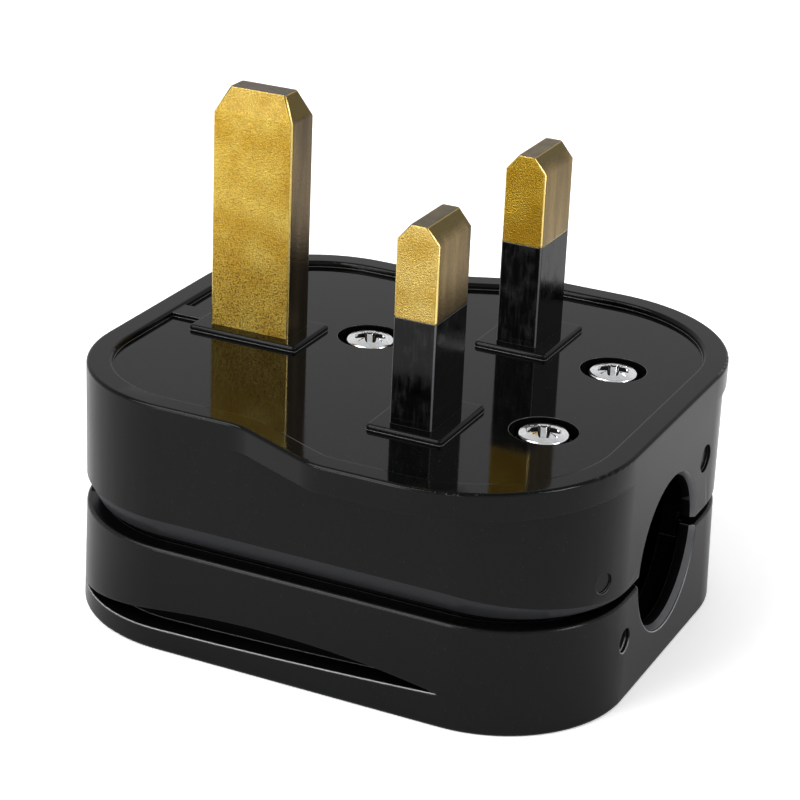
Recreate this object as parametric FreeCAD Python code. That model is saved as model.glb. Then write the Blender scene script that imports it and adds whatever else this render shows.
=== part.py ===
import FreeCAD, Part
import math
import os

# Three pin mains plug, lying on its rear cover with the pins up.
# Millimetres. X runs from the line side (-) to the neutral side (+), Y from the cord end (-) to the earth
# end (+), Z up along the pins. The origin is the centre of the plug's footprint on its rear face.

# Pin layout and pin sections
PIN_PITCH = 22.23
EARTH_OFFSET = 22.23
EARTH_PIN_X = 4.0
EARTH_PIN_Y = 8.0
LIVE_PIN_X = 6.35
LIVE_PIN_Y = 3.95
EARTH_PIN_REACH = 22.4
LIVE_PIN_REACH = 17.75
PIN_EDGE_RADIUS = 0.25
EARTH_TIP_HEIGHT = 2.3
EARTH_TIP_X = 2.3
EARTH_TIP_Y = 5.6
LIVE_TIP_HEIGHT = 1.4
LIVE_TIP_Y = 1.6
SLEEVE_REACH = 9.5
SLEEVE_WALL = 0.6
SLEEVE_ROOT = 0.8

# Outer body, from the line and neutral pins to its cord end and its sides
CORD_END_DISTANCE = 18.85
SIDE_DISTANCE = 10.385
EARTH_END_RADIUS = 12.7
CORD_END_RADIUS = 11.6
COVER_FLARE = 0.25
PARTING_GAP = 0.8
BASE_HEIGHT = 12.6
BASE_CHAMFER_HEIGHT = 1.9
BASE_CHAMFER_INSET = 1.0
BASE_CORD_INSET = 0.1
EDGE_RADIUS = 0.3

# Flange round the pin face, wider than the body beside the line and neutral pins
FLANGE_STEP = 3.9
FLANGE_DEPTH = 2.4
FLANGE_CORD_RADIUS = 15.2
SHOULDER_START = 3.8
SHOULDER_END = 12.4
SHOULDER_RADIUS = 5.5
RIM_WIDTH = 2.3
FACE_RECESS = 0.55
FACE_PLATE = 2.95

# Raised pads round the pins and the rib that joins the earth pad to the rim
PAD_HEIGHT = 0.5
EARTH_PAD_X = 6.8
EARTH_PAD_Y = 11.0
LIVE_PAD_X = 9.0
LIVE_PAD_Y = 7.1
PAD_EDGE_RADIUS = 0.35
PAD_TOP_RADIUS = 0.25
RIB_WIDTH = 2.4
RIB_DROP = 0.2
RIB_LEAST_LENGTH = 3.0

# Hollow inside and the joint between base and cover
SPIGOT_INSET = 1.9
SPIGOT_DEPTH = 1.6
SPIGOT_WALL = 1.5
SPIGOT_CLEARANCE = 0.15
COVER_FLOOR = 2.2

# Finger scoop along each long side of the cover: how far its tips and middle lie from the body's ends
SCOOP_CORD_GAP = 11.85
SCOOP_CORD_TIP_Z = 3.1
SCOOP_MIDDLE_GAP = 19.25
SCOOP_TOP_Z = 4.5
SCOOP_BOTTOM_Z = 2.2
SCOOP_EARTH_GAP = 2.2
SCOOP_EARTH_TIP_Z = 2.0
SCOOP_DEPTH = 2.0

# Cord entry and the small round moulding marks beside it
ENTRY_RADIUS = 6.8
ENTRY_LENGTH = 1.4
ENTRY_LIP = 0.4
ENTRY_LIP_DEPTH = 0.5
ENTRY_RELIEF = 0.6
BASE_MARK_RADIUS = 1.3
BASE_MARK_X = 8.3
BASE_MARK_RISE = 5.7
COVER_MARK_RADIUS = 1.1
COVER_MARK_X = -9.8
COVER_MARK_DROP = 4.3
MARK_DEPTH = 0.3
CORNER_MARK_RADIUS = 0.95
CORNER_MARK_DEPTH = 0.2
CORNER_MARK_TURN = 70.0
CORNER_MARK_RISE = 2.3

# Screws: three alike in the pin face, three alike in the terminals
SCREW_SHANK_RADIUS = 1.5
SCREW_HEAD_RADIUS = 2.25
SCREW_HEAD_HEIGHT = 1.7
SCREW_HEAD_EDGE = 0.8
SCREW_HEAD_RISE = 0.15
SCREW_RECESS_RADIUS = 1.25
SCREW_RECESS_SLOT = 0.55
SCREW_RECESS_DEPTH = 1.1
COUNTERBORE_RADIUS = 3.0
SCREW_CLEARANCE = 0.2
THREAD_CLEARANCE = 0.05
COVER_SCREW_X = 3.8
GRIP_SCREW_PITCH = 16.0
GRIP_END_DISTANCE = 9.25
GRIP_SCREW_END = 0.7
GRIP_POST_RADIUS = 2.9
BOSS_RADIUS = 4.0
BOSS_EARTH_GAP = 0.33
POST_RADIUS = 4.3

# Threaded insert in the cover and the washer that holds the cover screw in the base
INSERT_RADIUS = 2.5
INSERT_LENGTH = 6.0
INSERT_GROOVE = 0.3
RETAINER_RADIUS = 3.0
RETAINER_THICKNESS = 0.8

# Terminals
PIN_SHOULDER_MARGIN = 1.2
PIN_SHOULDER_HEIGHT = 2.0
TERMINAL_HEIGHT = 6.5
EARTH_TERMINAL_X = 6.0
EARTH_TERMINAL_Y = 8.0
NEUTRAL_TERMINAL_X = 6.4
NEUTRAL_TERMINAL_Y = 6.0
WIRE_HOLE_RADIUS = 1.6
WIRE_HOLE_RISE = 3.7
TERMINAL_SCREW_RADIUS = 1.75
TERMINAL_SCREW_LENGTH = 5.2
SCREW_END_CLEARANCE = 0.3
TERMINAL_HEAD_RADIUS = 2.6
TERMINAL_HEAD_HEIGHT = 1.8
TERMINAL_SLOT_WIDTH = 0.9
TERMINAL_SLOT_DEPTH = 0.9
LINE_TERMINAL_X = 5.8
LINE_TERMINAL_Y = 4.6
LINE_TERMINAL_HEIGHT = 8.1
TERMINAL_END_GAP = 1.55
TERMINAL_WALL_GAP = 0.25
FUSE_END_GAP = 1.0
TONGUE_THICKNESS = 1.0
TONGUE_WIDTH = 4.6

# Fuse: a ceramic tube with a cap on each end and a wire between them
FUSE_LENGTH = 25.4
FUSE_RADIUS = 3.175
CAP_LENGTH = 5.8
CAP_WALL = 0.35
FUSE_BORE_RADIUS = 1.9
FUSE_WIRE_RADIUS = 0.25

# Fuse clips and the rivets that hold them
CLIP_THICKNESS = 0.5
CLIP_LENGTH = 4.6
CLIP_SIDE_GAP = 0.225
CLIP_SIDE_Z = 0.3
CLIP_NECK_STEP = 0.175
CLIP_NECK_Z = -2.1
CLIP_LIP_STEP = 0.925
CLIP_LIP_Z = -3.7
CLIP_BASE_BEND = 0.9
CLIP_SIDE_BEND = 1.5
CLIP_NECK_BEND = 0.6
RIVET_RADIUS = 1.0
RIVET_HEAD_RADIUS = 1.6
RIVET_HEAD_HEIGHT = 0.7
RIVET_GRIP = 1.0
RIVET_FUSE_GAP = 0.225

# Walls inside the base that part the fuse and the terminals
PARTITION_THICKNESS = 1.2
PARTITION_CLIP_GAP = 0.265
PARTITION_DEPTH = 8.6
PARTITION_FUSE_GAP = 2.3
PARTITION_END_GAP = 2.35
NEUTRAL_PARTITION_LENGTH = 14.0

# Cord grip
GRIP_BAR_Y = 6.5
GRIP_BAR_END = 0.25
GRIP_BAR_FLAT = 0.05
GRIP_BAR_THICKNESS = 3.6
GRIP_BAR_DROP = 3.6
GRIP_FLOOR_GAP = 0.8
GRIP_TOOTH = 0.6
GRIP_TOOTH_MARGIN = 0.5
GRIP_TOOTH_COUNT = 3
GRIP_TOOTH_PITCH = 2.0
NUT_ACROSS_FLATS = 5.5
NUT_THICKNESS = 2.4
NUT_CLEARANCE = 0.05

# How far a cut runs past the face that it opens, and how far joined forms reach into each other
CUT_MARGIN = 1.0
JOIN_OVERLAP = 0.5

# Heights that follow from the sizes above: the cover holds the clamp bar, which hangs under the cord's axis
ENTRY_Z = COVER_FLOOR + GRIP_FLOOR_GAP + GRIP_BAR_THICKNESS + GRIP_BAR_DROP
COVER_HEIGHT = ENTRY_Z - PARTING_GAP / 2
BASE_BOTTOM = COVER_HEIGHT + PARTING_GAP
RIM_TOP = BASE_BOTTOM + BASE_HEIGHT
FACE_Z = RIM_TOP - FACE_RECESS
ROOF_Z = FACE_Z - FACE_PLATE
SPIGOT_BOTTOM = COVER_HEIGHT - SPIGOT_DEPTH
BOSS_BOTTOM = ENTRY_Z
INSERT_BOTTOM = BOSS_BOTTOM - INSERT_LENGTH
GRIP_BAR_TOP = ENTRY_Z - GRIP_BAR_DROP
GRIP_BAR_BOTTOM = GRIP_BAR_TOP - GRIP_BAR_THICKNESS
SLEEVE_BOTTOM = ROOF_Z + SLEEVE_ROOT
SLEEVE_TOP = RIM_TOP + SLEEVE_REACH
PIN_SHOULDER_BOTTOM = ROOF_Z - PIN_SHOULDER_HEIGHT
LINE_TERMINAL_BOTTOM = ROOF_Z - LINE_TERMINAL_HEIGHT
SCREW_SEAT_Z = FACE_Z + SCREW_HEAD_RISE - SCREW_HEAD_HEIGHT
CLIP_BASE_RISE = FUSE_RADIUS + RIVET_FUSE_GAP + RIVET_HEAD_HEIGHT + CLIP_THICKNESS / 2
FUSE_Z = PIN_SHOULDER_BOTTOM - CLIP_BASE_RISE - CLIP_THICKNESS / 2

# Places across the body
CAVITY_INSET = SPIGOT_INSET + SPIGOT_WALL
LINE_X = -PIN_PITCH / 2
NEUTRAL_X = PIN_PITCH / 2
HALF_WIDTH = NEUTRAL_X + SIDE_DISTANCE
CLIP_SIDE_X = FUSE_RADIUS + CLIP_THICKNESS / 2 + CLIP_SIDE_GAP
CLIP_NECK_X = FUSE_RADIUS - CLIP_NECK_STEP
CLIP_LIP_X = FUSE_RADIUS + CLIP_LIP_STEP
PARTITION_X = NEUTRAL_X - CLIP_LIP_X - CLIP_THICKNESS / 2 - PARTITION_CLIP_GAP - PARTITION_THICKNESS / 2
LINE_TERMINAL_CENTRE_X = LINE_X - TONGUE_WIDTH / 2 + LINE_TERMINAL_X / 2

# Places along the body: its earth end clears both the line terminal inside and the rib on the face
LINE_TERMINAL_OFFSET = FUSE_LENGTH - CAP_LENGTH / 2 + FUSE_END_GAP
INSIDE_END_DISTANCE = LINE_TERMINAL_OFFSET + LINE_TERMINAL_Y + TERMINAL_END_GAP + CAVITY_INSET
FACE_END_DISTANCE = EARTH_OFFSET + EARTH_PAD_Y / 2 + RIB_LEAST_LENGTH + RIM_WIDTH
HALF_LENGTH = (CORD_END_DISTANCE + max(INSIDE_END_DISTANCE, FACE_END_DISTANCE)) / 2
LINE_ROW_Y = CORD_END_DISTANCE - HALF_LENGTH
EARTH_Y = LINE_ROW_Y + EARTH_OFFSET
COVER_SCREW_Y = EARTH_Y - EARTH_PIN_Y / 2 - PIN_SHOULDER_MARGIN - BOSS_EARTH_GAP - BOSS_RADIUS
GRIP_SCREW_Y = GRIP_END_DISTANCE - HALF_LENGTH
FUSE_START_Y = LINE_ROW_Y - CAP_LENGTH / 2
FUSE_END_Y = FUSE_START_Y + FUSE_LENGTH
FAR_CLIP_Y = FUSE_END_Y - CAP_LENGTH / 2
LINE_TERMINAL_START_Y = LINE_ROW_Y + LINE_TERMINAL_OFFSET
LINE_TERMINAL_CENTRE_Y = LINE_TERMINAL_START_Y + LINE_TERMINAL_Y / 2


def vec(x, y, z):
    return FreeCAD.Vector(x, y, z)


def rounded_wire(points, radii):
    """A closed wire through the points, with a tangent arc of the given radius at each one."""
    count = len(points)
    edges = []
    starts = []
    ends = []
    middles = []
    for i in range(count):
        corner = points[i]
        before = (points[i - 1] - corner).normalize()
        after = (points[(i + 1) % count] - corner).normalize()
        half = before.getAngle(after) / 2
        reach = radii[i] / math.tan(half)
        bisector = (before + after).normalize()
        centre = corner + bisector * (radii[i] / math.sin(half))
        starts.append(corner + before * reach)
        ends.append(corner + after * reach)
        middles.append(centre - bisector * radii[i])
    for i in range(count):
        if radii[i] > 0:
            edges.append(Part.Arc(starts[i], middles[i], ends[i]).toShape())
        following = starts[(i + 1) % count]
        if (following - ends[i]).Length > 1e-6:
            edges.append(Part.LineSegment(ends[i], following).toShape())
    return Part.Wire(edges)


def prism(wire, z_from, z_to):
    """The upright solid over a flat wire."""
    face = Part.Face(wire)
    face.translate(vec(0, 0, z_from - wire.BoundBox.ZMin))
    return face.extrude(vec(0, 0, z_to - z_from))


def block(x, y, z_from, size_x, size_y, z_to):
    """A box centred on x, y between two heights."""
    return Part.makeBox(size_x, size_y, z_to - z_from, vec(x - size_x / 2, y - size_y / 2, z_from))


def rectangle(x, y, size_x, size_y, radius, z):
    """A rectangle with rounded corners, centred on x, y."""
    hx = size_x / 2
    hy = size_y / 2
    points = [vec(x - hx, y - hy, z), vec(x + hx, y - hy, z), vec(x + hx, y + hy, z), vec(x - hx, y + hy, z)]
    return rounded_wire(points, [radius] * 4)


def upright_cylinder(x, y, radius, z_from, z_to):
    return Part.makeCylinder(radius, z_to - z_from, vec(x, y, z_from))


def round_edges(solid, radius, chosen):
    """Fillets the edges of the solid for which chosen(edge) is true."""
    edges = [edge for edge in solid.Edges if chosen(edge)]
    return solid.makeFillet(radius, edges)


def lies_at(z):
    """A test that an edge lies in the level plane at height z."""
    return lambda edge: abs(edge.BoundBox.ZMin - z) < 1e-4 and abs(edge.BoundBox.ZMax - z) < 1e-4


def lies_across(y):
    """A test that an edge lies in the plane across the plug at y."""
    return lambda edge: abs(edge.BoundBox.YMin - y) < 1e-4 and abs(edge.BoundBox.YMax - y) < 1e-4


def body_outline(side_inset, earth_inset, cord_inset, grow=0.0):
    """The lower body's outline: straight sides and four round corners, moved in or out at each side."""
    half = HALF_WIDTH - side_inset + grow
    low = -HALF_LENGTH + cord_inset - grow
    high = HALF_LENGTH - earth_inset + grow
    cord_radius = CORD_END_RADIUS - (side_inset + cord_inset) / 2 + grow
    earth_radius = EARTH_END_RADIUS - (side_inset + earth_inset) / 2 + grow
    points = [vec(-half, low, 0), vec(half, low, 0), vec(half, high, 0), vec(-half, high, 0)]
    return rounded_wire(points, [cord_radius, cord_radius, earth_radius, earth_radius])


def inset_outline(inset):
    return body_outline(inset, inset, inset)


def flange_outline(inset):
    """The flange's outline: the body's at the earth end, stepping out by an S curve beside the short pins."""
    wide = HALF_WIDTH + FLANGE_STEP
    right = [
        (wide, -HALF_LENGTH),
        (wide, LINE_ROW_Y + SHOULDER_START),
        (HALF_WIDTH, LINE_ROW_Y + SHOULDER_END),
        (HALF_WIDTH, HALF_LENGTH),
    ]
    left = [(-x, y) for x, y in reversed(right)]
    radii = [FLANGE_CORD_RADIUS, SHOULDER_RADIUS, SHOULDER_RADIUS, EARTH_END_RADIUS]
    points = [vec(x, y, 0) for x, y in right + left]
    wire = rounded_wire(points, radii + radii[::-1])
    if inset == 0:
        return wire
    return wire.makeOffset2D(-inset)


def loft(lower, upper):
    return Part.makeLoft([lower, upper], True, True)


def raised(wire, z):
    """A copy of a flat wire moved to height z."""
    copy = wire.copy()
    copy.translate(vec(0, 0, z - copy.BoundBox.ZMin))
    return copy


def entry_bore():
    """The round way in for the cord: a tapered lip, a short bore and a wider relief behind it."""
    along = vec(0, 1, 0)
    start = vec(0, -HALF_LENGTH, ENTRY_Z)
    lip = Part.makeCone(ENTRY_RADIUS + ENTRY_LIP, ENTRY_RADIUS, ENTRY_LIP_DEPTH, start, along)
    bore = Part.makeCylinder(ENTRY_RADIUS, CAVITY_INSET, start, along)
    outside = Part.makeCylinder(ENTRY_RADIUS + ENTRY_LIP, CUT_MARGIN, start - along * CUT_MARGIN, along)
    relief_length = CAVITY_INSET - ENTRY_LENGTH + CUT_MARGIN
    inner_end = start + along * ENTRY_LENGTH
    relief = Part.makeCylinder(ENTRY_RADIUS + ENTRY_RELIEF, relief_length, inner_end, along)
    return outside.fuse([lip, bore, relief])


def cord_end_mark(radius, x, z):
    """A small round sinking in the cord end's face."""
    return Part.makeCylinder(radius, 2 * MARK_DEPTH, vec(x, -HALF_LENGTH - MARK_DEPTH, z), vec(0, 1, 0))


def corner_mark():
    """A round moulding mark, barely sunk in the base's corner between its line side and its cord end."""
    turn = math.radians(CORNER_MARK_TURN)
    outward = vec(-math.cos(turn), -math.sin(turn), 0)
    centre = vec(CORD_END_RADIUS - HALF_WIDTH, CORD_END_RADIUS - HALF_LENGTH, BASE_BOTTOM + CORNER_MARK_RISE)
    start = centre + outward * (CORD_END_RADIUS - CORNER_MARK_DEPTH)
    return Part.makeCylinder(CORNER_MARK_RADIUS, CUT_MARGIN, start, outward)


def face_screw_places():
    return [
        (COVER_SCREW_X, COVER_SCREW_Y),
        (-GRIP_SCREW_PITCH / 2, GRIP_SCREW_Y),
        (GRIP_SCREW_PITCH / 2, GRIP_SCREW_Y),
    ]


def pin_pads():
    """The three raised pads, with their top edges and corners rounded."""
    pads = []
    sizes = [(0, EARTH_Y, EARTH_PAD_X, EARTH_PAD_Y), (LINE_X, LINE_ROW_Y, LIVE_PAD_X, LIVE_PAD_Y),
             (NEUTRAL_X, LINE_ROW_Y, LIVE_PAD_X, LIVE_PAD_Y)]
    top = FACE_Z + PAD_HEIGHT
    for x, y, size_x, size_y in sizes:
        pad = prism(rectangle(x, y, size_x, size_y, PAD_EDGE_RADIUS, 0), FACE_Z - JOIN_OVERLAP, top)
        pads.append(round_edges(pad, PAD_TOP_RADIUS, lies_at(top)))
    return pads


def base_shell():
    """The base's outer form: body wall, flange with its recessed face, and the spigot below."""
    chamfer_top = BASE_BOTTOM + BASE_CHAMFER_HEIGHT
    flange_bottom = RIM_TOP - FLANGE_DEPTH
    full = inset_outline(0)
    inset = BASE_CHAMFER_INSET
    tucked = body_outline(inset, inset, BASE_CORD_INSET)
    spread = body_outline(0, 0, BASE_CORD_INSET - inset)
    skirt = loft(raised(tucked, BASE_BOTTOM), raised(spread, chamfer_top))
    skirt = skirt.common(prism(full, BASE_BOTTOM, chamfer_top))
    wall = prism(full, chamfer_top, flange_bottom)
    flange = prism(flange_outline(0), flange_bottom, RIM_TOP)
    recess = prism(flange_outline(RIM_WIDTH), FACE_Z, RIM_TOP + CUT_MARGIN)
    flange = round_edges(flange.cut(recess), EDGE_RADIUS, lies_at(RIM_TOP))
    spigot = prism(inset_outline(SPIGOT_INSET), SPIGOT_BOTTOM, BASE_BOTTOM + JOIN_OVERLAP)
    return skirt.fuse([wall, flange, spigot]).removeSplitter()


def base_inside():
    """Bosses, posts, seats and partition walls that stand down from the face plate."""
    overlap = ROOF_Z + JOIN_OVERLAP
    features = [upright_cylinder(COVER_SCREW_X, COVER_SCREW_Y, BOSS_RADIUS, BOSS_BOTTOM, overlap)]
    for side in (-1, 1):
        x = side * GRIP_SCREW_PITCH / 2
        features.append(upright_cylinder(x, GRIP_SCREW_Y, GRIP_POST_RADIUS, GRIP_BAR_TOP, overlap))
    seat_y = (FAR_CLIP_Y - CLIP_LENGTH / 2 + LINE_TERMINAL_START_Y) / 2
    seat_length = LINE_TERMINAL_START_Y - FAR_CLIP_Y + CLIP_LENGTH / 2
    seat_bottom = PIN_SHOULDER_BOTTOM + TONGUE_THICKNESS
    features.append(block(LINE_X, seat_y, seat_bottom, TONGUE_WIDTH, seat_length, overlap))
    from_y = FUSE_START_Y - PARTITION_FUSE_GAP
    line_length = HALF_LENGTH - CAVITY_INSET - PARTITION_END_GAP - from_y
    for x, length in ((-PARTITION_X, line_length), (PARTITION_X, NEUTRAL_PARTITION_LENGTH)):
        bottom = ROOF_Z - PARTITION_DEPTH
        features.append(block(x, from_y + length / 2, bottom, PARTITION_THICKNESS, length, overlap))
    return features


def pin_slots():
    """The openings in the face plate that the pins stand in."""
    bottom = ROOF_Z - CUT_MARGIN
    top = FACE_Z + PAD_HEIGHT + CUT_MARGIN
    slots = [prism(rectangle(0, EARTH_Y, EARTH_PIN_X, EARTH_PIN_Y, PIN_EDGE_RADIUS, 0), bottom, top)]
    for x in (LINE_X, NEUTRAL_X):
        slots.append(prism(rectangle(x, LINE_ROW_Y, LIVE_PIN_X, LIVE_PIN_Y, PIN_EDGE_RADIUS, 0), bottom, top))
    return slots


def pin_base():
    shell = base_shell()
    cavity = prism(inset_outline(CAVITY_INSET), SPIGOT_BOTTOM - CUT_MARGIN, ROOF_Z)
    rib_from = EARTH_Y + EARTH_PAD_Y / 2 - JOIN_OVERLAP
    rib_to = HALF_LENGTH - RIM_WIDTH + JOIN_OVERLAP
    rib_y = (rib_from + rib_to) / 2
    rib = block(0, rib_y, FACE_Z - JOIN_OVERLAP, RIB_WIDTH, rib_to - rib_from, RIM_TOP - RIB_DROP)
    solid = shell.cut(cavity).fuse(pin_pads() + [rib] + base_inside())
    holes = pin_slots() + [entry_bore(), corner_mark()]
    holes.append(cord_end_mark(BASE_MARK_RADIUS, BASE_MARK_X, ENTRY_Z + BASE_MARK_RISE))
    for x, y in face_screw_places():
        holes.append(upright_cylinder(x, y, COUNTERBORE_RADIUS, SCREW_SEAT_Z, FACE_Z + CUT_MARGIN))
        shank_hole = SCREW_SHANK_RADIUS + SCREW_CLEARANCE
        holes.append(upright_cylinder(x, y, shank_hole, 0, SCREW_SEAT_Z + CUT_MARGIN))
    holes.append(upright_cylinder(COVER_SCREW_X, COVER_SCREW_Y, RETAINER_RADIUS + SCREW_CLEARANCE,
                                  BOSS_BOTTOM - CUT_MARGIN, BOSS_BOTTOM + RETAINER_THICKNESS))
    return solid.cut(holes).removeSplitter()


def scoop_tool():
    """A lens drawn on the side of the cover, as deep as the scoop all the way round the outline."""
    x = HALF_WIDTH + COVER_FLARE + CUT_MARGIN
    middle_y = HALF_LENGTH - SCOOP_MIDDLE_GAP
    cord_tip = vec(-x, SCOOP_CORD_GAP - HALF_LENGTH, SCOOP_CORD_TIP_Z)
    earth_tip = vec(-x, HALF_LENGTH - SCOOP_EARTH_GAP, SCOOP_EARTH_TIP_Z)
    upper = Part.Arc(cord_tip, vec(-x, middle_y, SCOOP_TOP_Z), earth_tip).toShape()
    lower = Part.Arc(earth_tip, vec(-x, middle_y, SCOOP_BOTTOM_Z), cord_tip).toShape()
    lens = Part.Face(Part.Wire([upper, lower])).extrude(vec(2 * x, 0, 0))
    kept = prism(inset_outline(SCOOP_DEPTH), 0, COVER_HEIGHT)
    return lens.cut(kept)


def rear_cover():
    """The cover: a flared wall, a floor, the ledge for the base's spigot, the scoops and the screw post."""
    foot = body_outline(0, 0, 0, grow=COVER_FLARE)
    body = loft(raised(foot, 0), raised(inset_outline(0), COVER_HEIGHT))
    body = round_edges(body, EDGE_RADIUS, lies_at(COVER_HEIGHT))
    body = round_edges(body, EDGE_RADIUS, lies_at(0))
    top = COVER_HEIGHT + CUT_MARGIN
    cavity = prism(inset_outline(CAVITY_INSET), COVER_FLOOR, top)
    ledge = prism(inset_outline(SPIGOT_INSET - SPIGOT_CLEARANCE), SPIGOT_BOTTOM, top)
    body = body.cut([cavity, ledge, scoop_tool()])
    x = COVER_SCREW_X
    y = COVER_SCREW_Y
    body = body.fuse(upright_cylinder(x, y, POST_RADIUS, COVER_FLOOR - JOIN_OVERLAP, BOSS_BOTTOM))
    shank_hole = SCREW_SHANK_RADIUS + SCREW_CLEARANCE
    holes = [
        upright_cylinder(x, y, INSERT_RADIUS, INSERT_BOTTOM, BOSS_BOTTOM + CUT_MARGIN),
        upright_cylinder(x, y, shank_hole, COVER_FLOOR, INSERT_BOTTOM + CUT_MARGIN),
        entry_bore(),
        cord_end_mark(COVER_MARK_RADIUS, COVER_MARK_X, ENTRY_Z - COVER_MARK_DROP),
    ]
    return body.cut(holes).removeSplitter()


def terminal_holes(x, y, bottom, along, width):
    """The wire hole across a terminal of the given width and the screw hole up into it from below."""
    reach = width / 2 + CUT_MARGIN
    start = vec(x, y, bottom + WIRE_HOLE_RISE) - along * reach
    wire_hole = Part.makeCylinder(WIRE_HOLE_RADIUS, 2 * reach, start, along)
    top = bottom + TERMINAL_SCREW_LENGTH + SCREW_END_CLEARANCE
    screw_hole = upright_cylinder(x, y, TERMINAL_SCREW_RADIUS + THREAD_CLEARANCE, bottom - CUT_MARGIN, top)
    return [wire_hole, screw_hole]


def earth_pin():
    """A solid brass bar, tapered on four sides at its tip, with a shoulder and its terminal inside."""
    tip_z = RIM_TOP + EARTH_PIN_REACH
    taper_z = tip_z - EARTH_TIP_HEIGHT
    bar_outline = rectangle(0, EARTH_Y, EARTH_PIN_X, EARTH_PIN_Y, PIN_EDGE_RADIUS, taper_z)
    tip_outline = rectangle(0, EARTH_Y, EARTH_TIP_X, EARTH_TIP_Y, PIN_EDGE_RADIUS, tip_z)
    bar = prism(bar_outline, ROOF_Z, taper_z)
    tip = loft(bar_outline, tip_outline)
    margin = 2 * PIN_SHOULDER_MARGIN
    shoulder = block(0, EARTH_Y, PIN_SHOULDER_BOTTOM, EARTH_PIN_X + margin, EARTH_PIN_Y + margin, ROOF_Z)
    bottom = PIN_SHOULDER_BOTTOM - TERMINAL_HEIGHT
    head = block(0, EARTH_Y, bottom, EARTH_TERMINAL_X, EARTH_TERMINAL_Y, PIN_SHOULDER_BOTTOM)
    holes = terminal_holes(0, EARTH_Y, bottom, vec(0, 1, 0), EARTH_TERMINAL_Y)
    return bar.fuse([tip, shoulder, head]).cut(holes)


def pin_waist(x, z_from, z_to):
    """The narrowed stretch of a short pin that its sleeve goes round."""
    return block(x, LINE_ROW_Y, z_from, LIVE_PIN_X - 2 * SLEEVE_WALL, LIVE_PIN_Y - 2 * SLEEVE_WALL, z_to)


def live_bar(x):
    """The outer part of a short pin: full at its root and tip, waisted where the sleeve sits."""
    tip_z = RIM_TOP + LIVE_PIN_REACH
    taper_z = tip_z - LIVE_TIP_HEIGHT
    full = rectangle(x, LINE_ROW_Y, LIVE_PIN_X, LIVE_PIN_Y, PIN_EDGE_RADIUS, taper_z)
    tip_outline = rectangle(x, LINE_ROW_Y, LIVE_PIN_X, LIVE_TIP_Y, PIN_EDGE_RADIUS, tip_z)
    waist = pin_waist(x, SLEEVE_BOTTOM, SLEEVE_TOP)
    root = prism(full, ROOF_Z, SLEEVE_BOTTOM)
    bar = prism(full, SLEEVE_TOP, taper_z)
    margin = 2 * PIN_SHOULDER_MARGIN
    shoulder = block(x, LINE_ROW_Y, PIN_SHOULDER_BOTTOM, LIVE_PIN_X + margin, LIVE_PIN_Y + margin, ROOF_Z)
    return root.fuse([waist, bar, loft(full, tip_outline), shoulder])


def neutral_pin():
    bottom = PIN_SHOULDER_BOTTOM - TERMINAL_HEIGHT
    head = block(NEUTRAL_X, LINE_ROW_Y, bottom, NEUTRAL_TERMINAL_X, NEUTRAL_TERMINAL_Y, PIN_SHOULDER_BOTTOM)
    holes = terminal_holes(NEUTRAL_X, LINE_ROW_Y, bottom, vec(0, 1, 0), NEUTRAL_TERMINAL_Y)
    return live_bar(NEUTRAL_X).fuse(head).cut(holes)


def line_pin():
    """The line pin has no terminal: its inner end carries a fuse clip by a rivet."""
    bottom = PIN_SHOULDER_BOTTOM
    rivet_hole = upright_cylinder(LINE_X, LINE_ROW_Y, RIVET_RADIUS, bottom - CUT_MARGIN, bottom + RIVET_GRIP)
    return live_bar(LINE_X).cut(rivet_hole)


def pin_sleeve(x):
    """The black sleeve moulded round the waist of a short pin, flush with the brass."""
    outline = rectangle(x, LINE_ROW_Y, LIVE_PIN_X, LIVE_PIN_Y, PIN_EDGE_RADIUS, 0)
    outer = prism(outline, SLEEVE_BOTTOM, SLEEVE_TOP)
    return outer.cut(pin_waist(x, SLEEVE_BOTTOM - CUT_MARGIN, SLEEVE_TOP + CUT_MARGIN))


def terminal_screw(x, y, bottom):
    """A slotted cheese-head screw, wound right up into its terminal."""
    head = upright_cylinder(x, y, TERMINAL_HEAD_RADIUS, bottom - TERMINAL_HEAD_HEIGHT, bottom)
    shank = upright_cylinder(x, y, TERMINAL_SCREW_RADIUS, bottom, bottom + TERMINAL_SCREW_LENGTH)
    slot = block(x, y, bottom - TERMINAL_HEAD_HEIGHT - CUT_MARGIN, TERMINAL_SLOT_WIDTH,
                 2 * (TERMINAL_HEAD_RADIUS + CUT_MARGIN), bottom - TERMINAL_HEAD_HEIGHT + TERMINAL_SLOT_DEPTH)
    return head.fuse(shank).cut(slot)


def line_terminal():
    """A brass block under the roof, clear of the wall, with a tongue that carries the second fuse clip."""
    x = LINE_TERMINAL_CENTRE_X
    y = LINE_TERMINAL_CENTRE_Y
    room = prism(inset_outline(CAVITY_INSET + TERMINAL_WALL_GAP), LINE_TERMINAL_BOTTOM, ROOF_Z)
    body = block(x, y, LINE_TERMINAL_BOTTOM, LINE_TERMINAL_X, LINE_TERMINAL_Y, ROOF_Z).common(room)
    tongue_start = FAR_CLIP_Y - CLIP_LENGTH / 2
    tongue_end = LINE_TERMINAL_START_Y + JOIN_OVERLAP
    tongue = block(LINE_X, (tongue_start + tongue_end) / 2, PIN_SHOULDER_BOTTOM, TONGUE_WIDTH,
                   tongue_end - tongue_start, PIN_SHOULDER_BOTTOM + TONGUE_THICKNESS)
    rivet_hole = upright_cylinder(LINE_X, FAR_CLIP_Y, RIVET_RADIUS, PIN_SHOULDER_BOTTOM - CUT_MARGIN, ROOF_Z)
    holes = terminal_holes(x, y, LINE_TERMINAL_BOTTOM, vec(1, 0, 0), LINE_TERMINAL_X)
    return body.fuse(tongue).cut(holes + [rivet_hole])


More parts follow.
